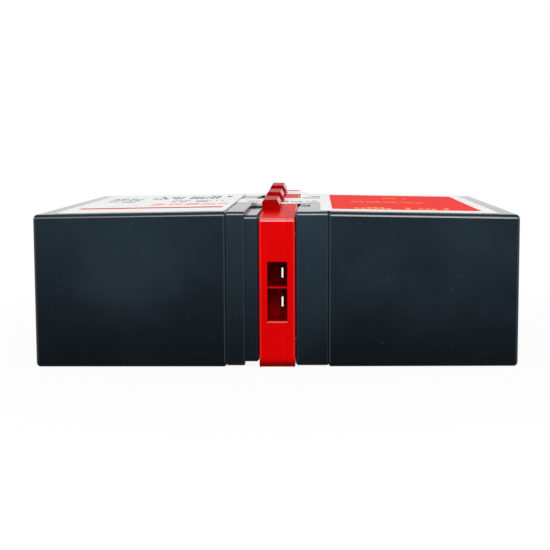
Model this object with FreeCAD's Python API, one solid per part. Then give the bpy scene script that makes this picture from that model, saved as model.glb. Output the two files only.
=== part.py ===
import FreeCAD, Part
import math
import os

# UPS battery cartridge: two sealed 12 V batteries lie on their long sides with their lids facing
# each other, and a red moulded connector housing fills the space between the lids. The right
# battery is the left one turned half a turn about the vertical, so each brings its two terminals
# to a different end of the housing. Leads inside the housing put the batteries in series and
# bring the two free poles to a pair of blades in a socket at the front.
#
# Frame: X runs across the pack, from the left battery to the right one. Y runs from the socket
# end (front, -Y) to the rear. +Z is up. The origin is on the table, under the pack's middle.

Vector = FreeCAD.Vector
UP = Vector(0, 0, 1)

# ------------------------------------------------------------------ driving dimensions, in mm
# Battery, measured as it stands on its own base: rise is base to lid face.
battery_length = 151.0
battery_thickness = 65.0
battery_rise = 93.0
connector_space = 15.4          # between the two lid faces

# Container: drafted box with two rows of three cells.
container_draft = 1.3           # loss of thickness from the mouth to the base
container_end_draft = 0.5       # loss at each short side
container_corner = 2.0
container_base_edge = 1.0
container_rim_edge = 0.7
container_wall = 2.3
container_base = 3.0
partition = 1.8
cells_per_row = 3

# Lid: flange on the container's mouth, then a plateau that is set in along three sides.
lid_rise = 13.6
plateau_rise = 5.8
plateau_inset = 1.5
plateau_setback = 0.8           # from the flange's short side
full_end_length = 36.0          # stretch of the lid that keeps the flange's outline
lid_inset = 0.4                 # flange inside the container's short sides
lid_lift = 0.5                  # flange's lower side above the table
lid_corner = 1.6
lid_edge = 0.8
lid_floor = 2.2                 # left under the vent recess

# Vent recess, its cover plate and the valve caps.
cover_thickness = 1.5
cover_margin = 1.0              # from the outer caps to the ledge
cover_ledge = 1.6
cover_clearance = 0.15
cover_slot_length = 10.0
vent_recess_depth = 5.0
vent_offset = 12.0              # from each cell's middle, away from the terminals
chimney_radius = 4.0
chimney_bore = 2.3
chimney_height = 2.6
cap_radius = 5.5
vent_sides = 8                  # of the chimneys, their bores and the caps
cap_clearance = 0.1
cap_top = 0.8

# Terminals: 6.35 mm tabs on lead posts, set in resin-filled wells.
tab_width = 6.35
tab_thickness = 0.8
tab_stand = 6.0                 # above the lid face
terminal_inset = 11.5           # from the battery's terminal end
terminal_side_inset = 10.25     # from the lid's long sides
post_radius = 2.5
post_sides = 10                 # of the posts, barrels and pegs, which are small and repeat
post_clearance = 0.1
well_length = 12.0
well_width = 9.0
well_depth = 1.5

# Plates of one cell.
positive_plates = 3
positive_plate_thickness = 3.3
negative_plate_thickness = 2.3
plate_side_clearance = 0.8
plate_rise = 62.0
stack_clearance = 0.3
fold_thickness = 1.0            # of the separator under each positive plate
strap_offset = 14.7             # from the cell's middle
strap_width = 7.0
strap_thickness = 4.0
strap_gap = 3.0                 # between the plates' upper edges and the strap
weld_size = 4.0                 # of the square window and stub that join neighbouring straps

# Connector housing: tray on the left, cover on the right.
housing_clearance = 0.2         # to each lid face
housing_front_drop = 2.4        # of the housing's top below the batteries', at the front
housing_rear_rise = 2.0         # and above it, at the rear
housing_wall = 2.0
housing_front_round = 2.0
housing_edge = 0.9
parting_height = 11.7           # of the tray, from its outer face
parting_chamfer = 0.1
lip_depth = 1.6
lip_thickness = 1.0
fit_clearance = 0.1

# Keying lugs on the tray's top.
lug_count = 3
lug_pitch = 44.0
lug_front = 28.5                # from the housing's front to the first lug
lug_length = 20.0
lug_width = 7.8
lug_height = 5.0
lug_inner_chamfer = (1.2, 2.2)
lug_outer_chamfer = (0.8, 1.2)

# Socket at the front: two cells, each around one blade.
socket_left = 3.4               # from the tray's outer face
socket_floor = 19.3             # above the table
lower_cell = 13.75              # clear height of each cell
upper_cell = 10.55
socket_depth = 16.5
socket_wall = 1.7
sill_chamfer = 0.5
divider_thickness = 0.7
divider_setback = 1.3           # behind the housing's front
carrier_thickness = 2.5
blade_x = 2.0
lower_blade_gap = 3.3           # from the divider to the edge of each blade
upper_blade_gap = 1.9
blade_tip = 8.0                 # behind the housing's front
blade_chamfer = 1.1
blade_tail = 3.5
blade_ear = 1.3

# Receptacles on the battery tabs, and the leads.
barrel_radius = 1.9
barrel_length = 6.0
receptacle_width = 7.8
receptacle_thickness = 3.0
receptacle_length = 8.0
receptacle_slit = 1.6
receptacle_gap = 0.6            # from the lid face
window_length = 16.0
window_height = 12.0
lead_diameter = 3.0
lead_sides = 6
lead_turn = 10.0                # half the height of the positive lead's U-turn
lead_turn_place = -11.0         # of that turn's upright run

# Pegs that hold the cover on the tray.
boss_radius = 3.0
boss_sink = 0.8                 # of the boss into the housing's floor or roof
peg_radius = 1.4
peg_length = 5.0
peg_places = (("low", -30.0), ("low", 30.0), ("high", -4.0), ("high", 36.0))

# Labels on the batteries' upper sides, and the strips that tie the pack together.
label_thickness = 0.2
label_margin = 5.5              # to the battery's short sides
label_outer = 8.0               # from the battery's base
left_label_gap = 0.6            # to the lid of the left battery
right_label_reach = 3.3         # onto the lid of the right battery
front_strip_length = 30.0
front_strip_lead = 7.0          # ahead of the middle lug
rear_strip_length = 20.0
rear_strip_lag = 6.0            # behind the rear lug's front face
lug_hole_clearance = 0.4

# ------------------------------------------------------------------ places worked out from them
half_length = battery_length / 2
lid_face = -connector_space / 2
joint = lid_face - lid_rise
step = lid_face - plateau_rise
base = lid_face - battery_rise
flange_front = -half_length + lid_inset
flange_rear = half_length - lid_inset

cell_length = (battery_length - 2 * (container_end_draft + container_wall)
               - (cells_per_row - 1) * partition) / cells_per_row
cell_depth = (battery_thickness - container_draft - 2 * container_wall - partition) / 2
cell_rows = (container_wall, container_wall + cell_depth + partition)
row_middles = [row + cell_depth / 2 for row in cell_rows]
cell_middles = [(column - (cells_per_row - 1) / 2) * (cell_length + partition)
                for column in range(cells_per_row)]
plate_foot = base + container_base + fold_thickness
plate_head = plate_foot + plate_rise
strap_foot = plate_head + strap_gap
strap_head = strap_foot + strap_thickness

recess_floor = lid_face - vent_recess_depth
vent_columns = [middle - vent_offset for middle in cell_middles]
cover_reach = cap_radius + cover_margin + cover_ledge
terminal_y = half_length - terminal_inset
terminal_heights = {"negative": lid_lift + terminal_side_inset,
                    "positive": battery_thickness - terminal_side_inset}

housing_front_height = battery_thickness - housing_front_drop
housing_rear_height = battery_thickness + housing_rear_rise
housing_left = lid_face + housing_clearance
housing_right = -housing_left
parting = housing_left + parting_height
socket_front = -half_length
socket_back = socket_front + socket_depth
divider_foot = socket_floor + lower_cell
divider_head = divider_foot + divider_thickness
socket_top = divider_head + upper_cell
blade_heights = {"negative": divider_foot - lower_blade_gap - tab_width / 2,
                 "positive": divider_head + upper_blade_gap + tab_width / 2}
carrier_back = socket_back + carrier_thickness
barrel_reach = barrel_radius / math.cos(math.pi / post_sides)
barrel_x = housing_right - housing_wall - barrel_reach - fit_clearance


# ------------------------------------------------------------------ small helpers
def block(x0, x1, y0, y1, z0, z1):
    """Box between two corners."""
    return Part.makeBox(x1 - x0, y1 - y0, z1 - z0, Vector(x0, y0, z0))


def ring_points(sides, radius):
    """Corners of a regular polygon with flats at the given radius."""
    reach = radius / math.cos(math.pi / sides)
    turns = [2 * math.pi * (side + 0.5) / sides for side in range(sides)]
    return [(reach * math.cos(turn), reach * math.sin(turn)) for turn in turns]


def rod(x0, x1, y, z, radius, sides):
    """Round bar along X, with flat sides."""
    points = [Vector(x0, y + across, z + up) for across, up in ring_points(sides, radius)]
    return prism(points, Vector(x1 - x0, 0, 0))


def barrel(x, z, y0, y1):
    """Crimp barrel along Y."""
    points = [Vector(x + across, y0, z + up) for across, up in ring_points(post_sides, barrel_radius)]
    return prism(points, Vector(0, y1 - y0, 0))


def prism(points, direction):
    """Polygon through the points, extruded along a vector."""
    return Part.Face(Part.makePolygon(points + points[:1])).extrude(direction)


def on_plane(edge, axis, place):
    """True where the whole edge lies on the plane axis = place."""
    box = edge.BoundBox
    low = getattr(box, axis + "Min")
    high = getattr(box, axis + "Max")
    return abs(low - place) < 0.01 and abs(high - place) < 0.01


def along(edge, axis):
    """True where a straight edge runs mainly along an axis."""
    start, end = edge.Vertexes[0].Point, edge.Vertexes[-1].Point
    return abs(getattr(end - start, axis)) > 0.9 * (end - start).Length > 0


def rounded(shape, radius, wanted):
    """Fillet the edges that the test picks."""
    return shape.makeFillet(radius, [edge for edge in shape.Edges if wanted(edge)])


def bevelled(shape, size, wanted):
    """Chamfer the edges that the test picks."""
    return shape.makeChamfer(size, [edge for edge in shape.Edges if wanted(edge)])


def housing_top(y):
    """Height of the housing's sloping top face."""
    rise = housing_rear_height - housing_front_height
    return housing_front_height + rise * (y + half_length) / battery_length


def battery_top(x):
    """Height of a battery's upper side, which the container's draft lowers towards its base."""
    along_container = max(0.0, (abs(x) - abs(joint)) / (abs(base) - abs(joint)))
    return battery_thickness - container_draft * along_container


# ------------------------------------------------------------------ battery
def cell_block(column, row, x0, x1):
    """Inside of one cell, between two heights of the battery."""
    middle = cell_middles[column]
    return block(x0, x1, middle - cell_length / 2, middle + cell_length / 2,
                 cell_rows[row], cell_rows[row] + cell_depth)


def weld_bar(place, axis, ends, size):
    """Square bar through a place, between two ends along one axis (1 for Y, 2 for Z)."""
    low = [middle - size / 2 for middle in place]
    high = [middle + size / 2 for middle in place]
    low[axis], high[axis] = sorted(ends)
    return block(low[0], high[0], low[1], high[1], low[2], high[2])


def weld_windows():
    """Square holes through the partitions where neighbouring straps are welded together."""
    x = strap_foot + strap_thickness / 2
    holes = []
    for left, right in zip(cell_middles, cell_middles[1:]):
        wall = ((left + right - partition) / 2, (left + right + partition) / 2)
        holes += [weld_bar((x, wall[0], z), 1, wall, weld_size) for z in row_middles]
    wall = (cell_rows[1] - partition, cell_rows[1])
    holes.append(weld_bar((x, cell_middles[0] - strap_offset, wall[0]), 2, wall, weld_size))
    return holes


def container():
    """Drafted box, open at the mouth, with its six cells."""
    side = prism([Vector(base, -half_length, 0),
                  Vector(joint, -half_length, 0),
                  Vector(joint, -half_length, battery_thickness),
                  Vector(base, -half_length, battery_thickness - container_draft)],
                 Vector(0, battery_length, 0))
    narrow = half_length - container_end_draft
    plan = prism([Vector(base, -narrow, 0), Vector(joint, -half_length, 0),
                  Vector(joint, half_length, 0), Vector(base, narrow, 0)],
                 Vector(0, 0, battery_thickness))
    shell = side.common(plan)
    shell = rounded(shell, container_corner, lambda edge: along(edge, "x"))
    shell = bevelled(shell, container_base_edge, lambda edge: on_plane(edge, "X", base))
    shell = bevelled(shell, container_rim_edge, lambda edge: on_plane(edge, "X", joint))
    cells = [cell_block(column, row, base + container_base, joint)
             for row in range(2) for column in range(cells_per_row)]
    return shell.cut(cells + weld_windows())


def lid():
    """Flange and stepped plateau, hollow below, with the vent recess and terminal wells."""
    flange = block(joint, step, flange_front, flange_rear, lid_lift, battery_thickness)
    flange = rounded(flange, lid_corner, lambda edge: along(edge, "x"))
    flange = bevelled(flange, lid_edge / 2,
                      lambda edge: on_plane(edge, "X", step) or on_plane(edge, "X", joint))
    full_front = flange_rear - full_end_length
    plateau = block(step - lid_floor, lid_face, flange_front + plateau_setback,
                    full_front + full_end_length / 2,
                    lid_lift + plateau_inset, battery_thickness - plateau_inset)
    plateau = rounded(plateau, lid_corner, lambda edge: along(edge, "x"))
    plateau = bevelled(plateau, lid_edge, lambda edge: on_plane(edge, "X", lid_face))
    full_end = block(joint, lid_face, full_front, flange_rear, lid_lift, battery_thickness)
    full_end = rounded(full_end, lid_corner,
                       lambda edge: along(edge, "x") and on_plane(edge, "Y", flange_rear))
    for place, size in ((joint, lid_edge / 2), (lid_face, lid_edge)):
        full_end = bevelled(full_end, size,
                            lambda edge: (on_plane(edge, "X", place)
                                          and not on_plane(edge, "Y", full_front)))
    body = flange.fuse([plateau, full_end])

    cuts = [cell_block(column, row, joint, recess_floor - lid_floor)
            for row in range(2) for column in range(cells_per_row)]
    cuts.append(recess_block(lid_face - cover_thickness, 0.0))
    cuts.append(recess_block(recess_floor, cover_ledge))
    for z in terminal_heights.values():
        cuts.append(rod(joint, lid_face, terminal_y, z, post_radius + post_clearance, post_sides))
        cuts.append(well_block(z, 0.0))
    body = body.cut(cuts)
    chimneys = [rod(recess_floor - lid_floor, recess_floor + chimney_height, y, z,
                    chimney_radius, vent_sides) for y in vent_columns for z in row_middles]
    bores = [rod(recess_floor - lid_floor, lid_face, y, z, chimney_bore, vent_sides)
             for y in vent_columns for z in row_middles]
    return body.fuse(chimneys).cut(bores).removeSplitter()


def recess_block(x0, inset):
    """Room round all the valves, from a height in the lid up to its face."""
    return block(x0, lid_face, vent_columns[0] - cover_reach + inset,
                 vent_columns[-1] + cover_reach - inset,
                 row_middles[0] - cover_reach + inset, row_middles[-1] + cover_reach - inset)


def well_block(z, clearance):
    """Room for the resin round one tab."""
    along_lid, across_lid = well_length / 2 - clearance, well_width / 2 - clearance
    return block(lid_face - well_depth, lid_face, terminal_y - along_lid, terminal_y + along_lid,
                 z - across_lid, z + across_lid)


def vent_cover():
    """Plate over the valves, flush with the lid face, with a gas slot between each two valves."""
    plate = bevelled(recess_block(lid_face - cover_thickness, cover_clearance), cover_ledge / 2,
                     lambda edge: along(edge, "x"))
    slots = [block(lid_face - cover_thickness, lid_face,
                   y - cover_slot_length / 2, y + cover_slot_length / 2,
                   cell_rows[1] - partition, cell_rows[1]) for y in vent_columns]
    return plate.cut(slots)


def valve_caps():
    """Rubber caps, each a cup over a chimney, held down by the cover plate."""
    foot = recess_floor + cap_clearance
    head = recess_floor + chimney_height
    caps = []
    for y in vent_columns:
        for z in row_middles:
            cap = rod(foot, head + cap_top, y, z, cap_radius, vent_sides)
            caps.append(cap.cut(rod(foot, head, y, z, chimney_radius + cap_clearance, vent_sides)))
    return Part.makeCompound(caps)


def terminal(pole):
    """Lead post from the end cell's strap, with the tab that stands out of the lid."""
    z = terminal_heights[pole]
    post_head = lid_face - well_depth
    post = rod(strap_head, post_head, terminal_y, z, post_radius, post_sides)
    tip = lid_face + tab_stand
    corner = tab_width / 2 - blade_chamfer
    half = tab_width / 2
    outline = [(post_head, -half), (tip - blade_chamfer, -half), (tip, -corner),
               (tip, corner), (tip - blade_chamfer, half), (post_head, half)]
    tab = prism([Vector(x, terminal_y + y, z - tab_thickness / 2) for x, y in outline],
                Vector(0, 0, tab_thickness))
    return post.fuse(tab).removeSplitter()


def terminal_seals():
    """Resin in the two wells, around the tabs."""
    seals = []
    for z in terminal_heights.values():
        fill = well_block(z, post_clearance)
        half = tab_width / 2 + post_clearance
        slot = block(lid_face - well_depth, lid_face, terminal_y - half, terminal_y + half,
                     z - tab_thickness / 2 - post_clearance, z + tab_thickness / 2 + post_clearance)
        seals.append(fill.cut(slot))
    return Part.makeCompound(seals)


def cell_layers(row):
    """Heights of one cell's layers: where each positive and negative plate starts."""
    stack = cell_depth - 2 * stack_clearance
    plates = (positive_plates * positive_plate_thickness
              + (positive_plates + 1) * negative_plate_thickness)
    separator = (stack - plates) / (2 * positive_plates)
    pitch = positive_plate_thickness + negative_plate_thickness + 2 * separator
    first = cell_rows[row] + stack_clearance
    negatives = [first + index * pitch for index in range(positive_plates + 1)]
    positives = [z + negative_plate_thickness + separator for z in negatives[:-1]]
    return positives, negatives, separator


def plate_group(column, row, pole):
    """Plates of one pole in one cell, joined by their strap and its arm to the next cell."""
    positives, negatives, separator = cell_layers(row)
    starts = positives if pole == "positive" else negatives
    thickness = positive_plate_thickness if pole == "positive" else negative_plate_thickness
    middle = cell_middles[column]
    side = 1 if (pole == "positive") == (row == 1) else -1
    strap_y = middle + side * strap_offset
    half = cell_length / 2 - plate_side_clearance
    low, high = negatives[0], negatives[-1] + negative_plate_thickness
    parts = [block(strap_foot, strap_head, strap_y - strap_width / 2, strap_y + strap_width / 2,
                   low, high)]
    for z in starts:
        parts.append(block(plate_foot, plate_head, middle - half, middle + half, z, z + thickness))
        parts.append(block(plate_head, strap_foot, strap_y - strap_width / 2,
                           strap_y + strap_width / 2, z, z + thickness))
    arm = weld_arm(column, row, side, strap_y)
    if arm:
        parts.append(arm)
    return parts[0].fuse(parts[1:]).removeSplitter()


def weld_arm(column, row, side, strap_y):
    """Stub from a strap to the middle of the partition where it meets its neighbour's."""
    place = (strap_foot + strap_thickness / 2, strap_y, row_middles[row])
    size = weld_size - 2 * post_clearance
    neighbour = column + side
    if 0 <= neighbour < cells_per_row:
        meeting = (cell_middles[column] + cell_middles[neighbour]) / 2
        return weld_bar(place, 1, (strap_y, meeting), size)
    if column > 0:
        return None
    return weld_bar(place, 2, (row_middles[row], cell_rows[1] - partition / 2), size)


def plate_groups(pole):
    """The six groups of one pole."""
    return Part.makeCompound([plate_group(column, row, pole)
                              for row in range(2) for column in range(cells_per_row)])


def separators():
    """Glass mat folded under each positive plate, so that it lies on both of its sides."""
    mats = []
    for row in range(2):
        positives, negatives, thickness = cell_layers(row)
        for middle in cell_middles:
            half = cell_length / 2 - plate_side_clearance / 2
            for z in positives:
                mat = block(plate_foot - fold_thickness, plate_head, middle - half, middle + half,
                            z - thickness, z + positive_plate_thickness + thickness)
                pocket = block(plate_foot, plate_head, middle - half, middle + half,
                               z, z + positive_plate_thickness)
                mats.append(mat.cut(pocket))
    return Part.makeCompound(mats)


def battery():
    """The pieces of the left battery, by name."""
    return {
        "container": container(),
        "lid": lid(),
        "vent_cover": vent_cover(),
        "valve_caps": valve_caps(),
        "positive_terminal": terminal("positive"),
        "negative_terminal": terminal("negative"),
        "terminal_seals": terminal_seals(),
        "positive_plates": plate_groups("positive"),
        "negative_plates": plate_groups("negative"),
        "separators": separators(),
    }


# ------------------------------------------------------------------ connector housing
def housing_outline(inset, x0, x1):
    """Side view of the housing, set in by a wall, between two places across the pack."""
    front, rear = -half_length + inset, half_length - inset
    return prism([Vector(x0, front, inset), Vector(x0, rear, inset),
                  Vector(x0, rear, housing_top(rear) - inset),
                  Vector(x0, front, housing_top(front) - inset)], Vector(x1 - x0, 0, 0))


def housing_shell():
    """Outside of the closed housing."""
    shell = housing_outline(0.0, housing_left, housing_right)
    shell = rounded(shell, housing_front_round,
                    lambda edge: (on_plane(edge, "Y", -half_length)
                                  and on_plane(edge, "Z", housing_front_height)))
    return rounded(shell, housing_edge,
                   lambda edge: on_plane(edge, "X", housing_left) or on_plane(edge, "X", housing_right))


def lug(y):
    """Keying lug, flush with the tray's outer face, with its top corners cut back."""
    x0, x1 = housing_left, housing_left + lug_width
    foot = housing_top(y) - housing_wall / 2
    slope = housing_top(y + lug_length) - housing_top(y)
    head = housing_top(y) + lug_height
    outline = [(x0, foot), (x1, foot), (x1, head - lug_inner_chamfer[1]),
               (x1 - lug_inner_chamfer[0], head), (x0 + lug_outer_chamfer[0], head),
               (x0, head - lug_outer_chamfer[1])]
    return prism([Vector(x, y, z) for x, z in outline], Vector(0, lug_length, slope))


def lug_starts():
    """Front face of each lug."""
    return [-half_length + lug_front + index * lug_pitch for index in range(lug_count)]


def socket_walls():
    """Walls of the socket inside the tray, its divider and the wall that carries the blades."""
    x0, x1 = housing_left + housing_wall / 2, parting
    y0, y1 = socket_front + housing_wall / 2, carrier_back
    return [block(x0, x1, y0, y1, socket_floor - socket_wall, socket_floor),
            block(x0, x1, y0, y1, socket_top, socket_top + socket_wall),
            block(x0, x1, socket_front + divider_setback, y1, divider_foot, divider_head),
            block(x0, x1, socket_back, carrier_back, socket_floor, socket_top),
            block(x0, housing_left + socket_left, y0, y1, socket_floor, socket_top)]


def peg_height(kind, y):
    """Height of a peg's axis: its boss stands against the floor or the roof of the housing."""
    if kind == "low":
        return housing_wall + boss_radius - boss_sink
    return housing_top(y) - housing_wall - boss_radius + boss_sink


def terminal_window(y, z, x0, x1):
    """Opening round a battery tab."""
    return block(x0, x1, y - window_length / 2, y + window_length / 2,
                 z - window_height / 2, z + window_height / 2)


def housing_tray():
    """Left part of the housing, with the lugs, the socket and the windows to the left battery."""
    outer = housing_shell().common(housing_outline(-housing_wall, housing_left, parting))
    outer = outer.makeChamfer(parting_chamfer,
                              [edge for edge in outer.Edges if on_plane(edge, "X", parting)])
    cavity = housing_outline(housing_wall, housing_left + housing_wall, parting)
    tray = outer.cut(cavity)
    bosses = [rod(housing_left + housing_wall / 2, parting, y, peg_height(kind, y), boss_radius,
                  post_sides) for kind, y in peg_places]
    tray = tray.fuse([lug(y) for y in lug_starts()] + socket_walls() + bosses)
    mouth = block(housing_left + socket_left, parting, socket_front, socket_front + 2 * housing_wall,
                  socket_floor, socket_top)
    keep = block(housing_left + socket_left, parting, socket_front + divider_setback,
                 socket_front + 2 * housing_wall, divider_foot, divider_head)
    sill = prism([Vector(housing_left + socket_left, socket_front, socket_floor - sill_chamfer),
                  Vector(housing_left + socket_left, socket_front, socket_floor),
                  Vector(housing_left + socket_left, socket_front + sill_chamfer, socket_floor)],
                 Vector(parting - housing_left - socket_left, 0, 0))
    cuts = [mouth.cut(keep), sill]
    cuts += [terminal_window(terminal_y, z, housing_left, housing_left + housing_wall)
             for z in terminal_heights.values()]
    cuts += [rod(parting - peg_length - fit_clearance, parting, y, peg_height(kind, y),
                 peg_radius + fit_clearance, post_sides) for kind, y in peg_places]
    half = tab_width / 2 + fit_clearance
    thick = tab_thickness / 2 + fit_clearance
    cuts += [block(blade_x - thick, parting, socket_back, carrier_back, z - half, z + half)
             for z in blade_heights.values()]
    return tray.cut(cuts).removeSplitter()


def housing_cover():
    """Right part of the housing: a plate with a rim, a lip inside the tray and four pegs."""
    outer = housing_shell().common(housing_outline(-housing_wall, parting, housing_right))
    outer = outer.makeChamfer(parting_chamfer,
                              [edge for edge in outer.Edges if on_plane(edge, "X", parting)])
    cavity = housing_outline(housing_wall, parting, housing_right - housing_wall)
    cover = outer.cut(cavity)
    lip = housing_outline(housing_wall + fit_clearance, parting - lip_depth, parting + lip_depth)
    lip = lip.cut(housing_outline(housing_wall + fit_clearance + lip_thickness,
                                  parting - lip_depth, parting + lip_depth))
    sill = socket_floor - socket_wall - fit_clearance
    head = socket_top + socket_wall + fit_clearance
    lip = lip.cut([block(parting - lip_depth, parting, -half_length, carrier_back, sill, head)]
                  + [rod(parting - lip_depth, parting, y, peg_height(kind, y),
                         boss_radius + fit_clearance, post_sides) for kind, y in peg_places])
    pad = block(parting, housing_right - housing_wall / 2, -half_length + housing_wall / 2,
                carrier_back, socket_floor - socket_wall, socket_top + socket_wall)
    keys = [block(blade_x + tab_thickness / 2 + fit_clearance, parting, socket_back + fit_clearance,
                  carrier_back - fit_clearance, z - tab_width / 2, z + tab_width / 2)
            for z in blade_heights.values()]
    pegs = [rod(parting - peg_length, housing_right - housing_wall / 2, y, peg_height(kind, y),
                peg_radius, post_sides) for kind, y in peg_places]
    cover = cover.fuse([lip, pad] + keys + pegs)
    windows = [terminal_window(-terminal_y, z, housing_right - housing_wall, housing_right)
               for z in terminal_heights.values()]
    return cover.cut(windows).removeSplitter()


def output_blade(pole):
    """Flat blade in the socket, with ears behind the carrier wall and a crimped tail."""
    z = blade_heights[pole]
    tip = socket_front + blade_tip
    tail = carrier_back + blade_tail
    half = tab_width / 2
    corner = half - blade_chamfer
    ear = half + blade_ear
    outline = [(tip, -corner), (tip + blade_chamfer, -half), (carrier_back, -half),
               (carrier_back, -ear), (carrier_back + blade_ear, -ear),
               (carrier_back + blade_ear, -half), (tail, -barrel_radius), (tail, barrel_radius),
               (carrier_back + blade_ear, half), (carrier_back + blade_ear, ear),
               (carrier_back, ear), (carrier_back, half), (tip + blade_chamfer, half),
               (tip, corner)]
    blade = prism([Vector(blade_x - tab_thickness / 2, y, z + side) for y, side in outline],
                  Vector(tab_thickness, 0, 0))
    start = tail - blade_ear
    return blade.fuse(barrel(blade_x, z, start, start + barrel_length)).removeSplitter()


def receptacle(pole):
    """Flag receptacle on a tab of the left battery; its barrel points to the housing's middle."""
    z = terminal_heights[pole]
    x0 = lid_face + receptacle_gap
    x1 = x0 + receptacle_length
    half = receptacle_width / 2
    sleeve = block(x0, x1, terminal_y - half, terminal_y + half,
                   z - receptacle_thickness / 2, z + receptacle_thickness / 2)
    sleeve = bevelled(sleeve, receptacle_thickness / 4, lambda edge: along(edge, "x"))
    slot_half = tab_width / 2 + fit_clearance
    slot = block(x0, x1 - tab_thickness, terminal_y - slot_half, terminal_y + slot_half,
                 z - tab_thickness / 2 - fit_clearance / 2, z + tab_thickness / 2 + fit_clearance / 2)
    slit = block(x0, x1 - tab_thickness, terminal_y - receptacle_slit / 2,
                 terminal_y + receptacle_slit / 2, z, z + receptacle_thickness)
    neck = block(x1 - tab_thickness, barrel_x, terminal_y - half, terminal_y,
                 z - tab_thickness / 2, z + tab_thickness / 2)
    crimp = barrel(barrel_x, z, terminal_y - half - barrel_length, terminal_y)
    return sleeve.cut([slot, slit]).fuse([neck, crimp]).removeSplitter()


# ------------------------------------------------------------------ leads
def route_radius(before, corner, after):
    """Radius of the arc at a corner of a lead's route, from its two runs."""
    first, second = corner - before, after - corner
    turn = first.getAngle(second)
    return 0.45 * min(first.Length, second.Length) / math.tan(turn / 2)


def lead(name, points):
    """Lead along straight runs joined by tangent arcs. It leaves its first point along Y."""
    corners = [Vector(*point) for point in points]
    edges = []
    start = corners[0]
    radii = []
    for before, corner, after in zip(corners, corners[1:], corners[2:]):
        into, out = (before - corner).normalize(), (after - corner).normalize()
        turn = math.pi - into.getAngle(out)
        radius = route_radius(before, corner, after)
        radii.append(round(radius, 1))
        tangent = radius * math.tan(turn / 2)
        first, last = corner + into * tangent, corner + out * tangent
        bisector = (into + out).normalize()
        centre = corner + bisector * (radius / math.cos(turn / 2))
        middle = centre - bisector * radius
        edges.append(Part.LineSegment(start, first).toShape())
        edges.append(Part.Arc(first, middle, last).toShape())
        start = last
    edges.append(Part.LineSegment(start, corners[-1]).toShape())
    path = Part.Wire(edges)
    ring = [Vector(corners[0].x + across, corners[0].y, corners[0].z + up)
            for across, up in ring_points(lead_sides, lead_diameter / 2)]
    section = Part.makePolygon(ring + ring[:1])
    tube = path.makePipeShell([section], True, False)
    exact = path.Length * Part.Face(section).Area
    print(name, "length", round(path.Length, 1), "radii", radii,
          "volume ratio", round(tube.Volume / exact, 4))
    return tube


def leads():
    """The three leads inside the housing, from barrel to barrel."""
    blade_end = carrier_back + blade_tail - blade_ear + barrel_length
    rear_end = terminal_y - receptacle_width / 2 - barrel_length
    front_end = -rear_end
    low, high = terminal_heights["negative"], terminal_heights["positive"]
    upper, lower = blade_heights["positive"], blade_heights["negative"]
    under, over = (upper + high) / 2 - lead_turn, (upper + high) / 2 + lead_turn
    return {
        "negative_lead": lead("negative_lead", [
            (blade_x, blade_end, lower), (blade_x, blade_end + 14.3, lower),
            (barrel_x, blade_end + 36.3, lower - 4.2),
            (barrel_x, rear_end - 36.1, low), (barrel_x, rear_end, low)]),
        "series_lead": lead("series_lead", [
            (-barrel_x, front_end, low), (-barrel_x, front_end + 26.1, low),
            (-barrel_x, front_end + 62.1, low + 23.2),
            (barrel_x, rear_end - 22.1, high), (barrel_x, rear_end, high)]),
        "positive_lead": lead("positive_lead", [
            (blade_x, blade_end, upper), (blade_x, blade_end + 8.3, upper),
            (1.0, lead_turn_place - 20.5, under), (0.0, lead_turn_place, under),
            (-2.0, lead_turn_place, over), (-3.0, lead_turn_place - 21.5, over),
            (-barrel_x, front_end + 11.1, high), (-barrel_x, front_end, high)]),
    }


# ------------------------------------------------------------------ labels and strips
def sheet(profile, y0, y1):
    """Thin sheet over the profile's points (x, z), between two places along the pack."""
    over = [(x, z + label_thickness) for x, z in reversed(profile)]
    return prism([Vector(x, y0, z) for x, z in profile + over], Vector(0, y1 - y0, 0))


def labels():
    """One label on each battery; the right one reaches onto its lid."""
    near, far = -half_length + label_margin, half_length - label_margin
    left_inner = joint - left_label_gap
    left_outer = base + label_outer
    left = [(left_outer, battery_top(left_outer)), (left_inner, battery_top(left_inner))]
    right = [(-joint - right_label_reach, battery_thickness), (-joint, battery_thickness),
             (-left_outer, battery_top(left_outer))]
    return {"left_label": sheet(left, near, far), "right_label": sheet(right, near, far)}


def bridge_strip(y0, y1):
    """Strip from lid to lid over the housing, with a hole where a lug comes through."""
    def section(y):
        top = housing_top(y)
        under = [(joint, battery_thickness), (step, battery_thickness), (housing_left, top),
                 (housing_right, top), (-step, battery_thickness),
                 (-joint - right_label_reach, battery_thickness)]
        over = [(x, z + label_thickness) for x, z in reversed(under)]
        points = [Vector(x, y, z) for x, z in under + over]
        return Part.makePolygon(points + points[:1])
    strip = Part.makeLoft([section(y0), section(y1)], True, True)
    holes = [block(housing_left - lug_hole_clearance, housing_left + lug_width + lug_hole_clearance,
                   y - lug_hole_clearance, y + lug_length + lug_hole_clearance,
                   housing_top(y) - lug_height, housing_top(y) + 2 * lug_height)
             for y in lug_starts()]
    return strip.cut(holes)


# ------------------------------------------------------------------ the pack
def turned(shape):
    """The same piece, half a turn about the vertical."""
    copy = shape.copy()
    copy.rotate(Vector(0, 0, 0), UP, 180)
    return copy


def pack():
    """Every piece of the cartridge, by node name."""
    pieces = {}
    for name, shape in battery().items():
        pieces["left_" + name] = shape
        pieces["right_" + name] = turned(shape)
    pieces["housing_tray"] = housing_tray()
    pieces["housing_cover"] = housing_cover()
    for pole in ("positive", "negative"):
        pieces[pole + "_blade"] = output_blade(pole)
        pieces["left_" + pole + "_receptacle"] = receptacle(pole)
        pieces["right_" + pole + "_receptacle"] = turned(receptacle(pole))
    pieces.update(leads())
    pieces.update(labels())
    front = lug_starts()[1] - front_strip_lead
    rear = lug_starts()[2] + rear_strip_lag
    pieces["front_strip"] = bridge_strip(front, front + front_strip_length)
    pieces["rear_strip"] = bridge_strip(rear, rear + rear_strip_length)
    return pieces


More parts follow.
